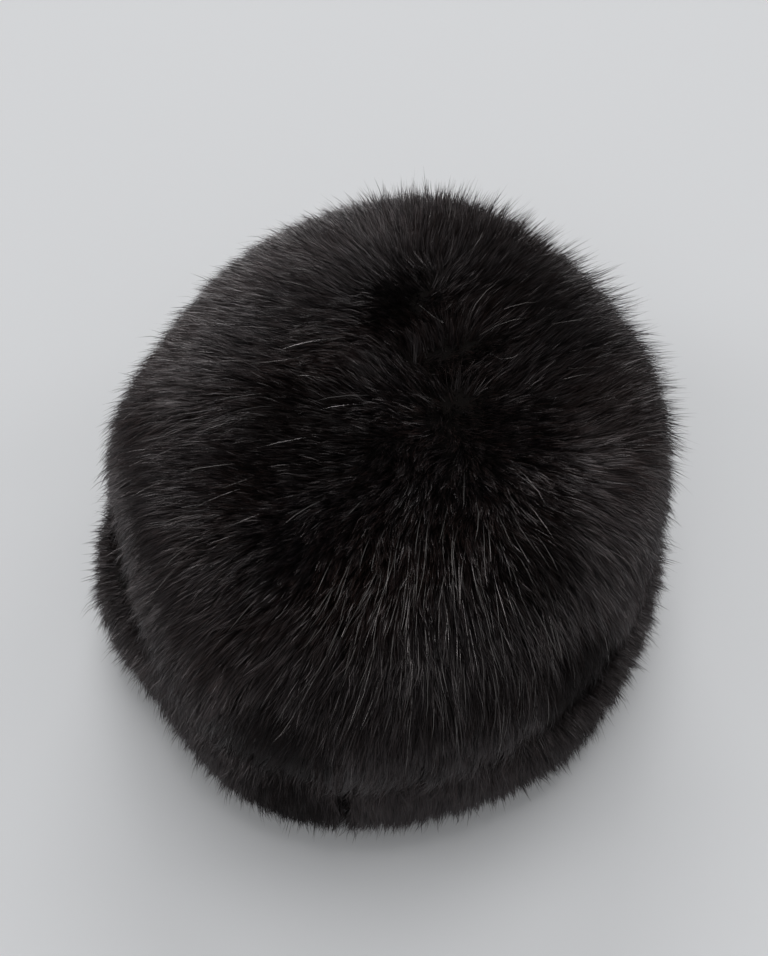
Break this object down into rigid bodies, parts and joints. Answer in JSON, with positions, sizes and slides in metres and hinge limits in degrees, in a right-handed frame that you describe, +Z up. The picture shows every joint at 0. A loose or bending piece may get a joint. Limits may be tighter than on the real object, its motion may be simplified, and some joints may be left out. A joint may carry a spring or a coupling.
{
  "type": "mink fur hat",
  "caption": "Round domed fur hat with a turned-up fur band, hollow below for a head, resting on its rolled lower edge.",
  "frame": {"origin": "middle of the footprint, on the surface that the hat rests on", "axes": "+Z up, +Y towards the front of the hat, -Y the centre back where the band's two ends meet, +X towards the wearer's right"},
  "size_m": [0.2268, 0.2568, 0.1279],
  "materials": {
    "hide": "matt suede side of a dressed pelt",
    "crown_pile": "glossy near-black brown mink fur",
    "band_pile": "glossy near-black brown mink fur"
  },
  "bodies": {
    "root": {"crown_hide": "hide", "crown_fur": "crown_pile", "band_hide": "hide", "band_fur": "band_pile"}
  },
  "joints": []
}
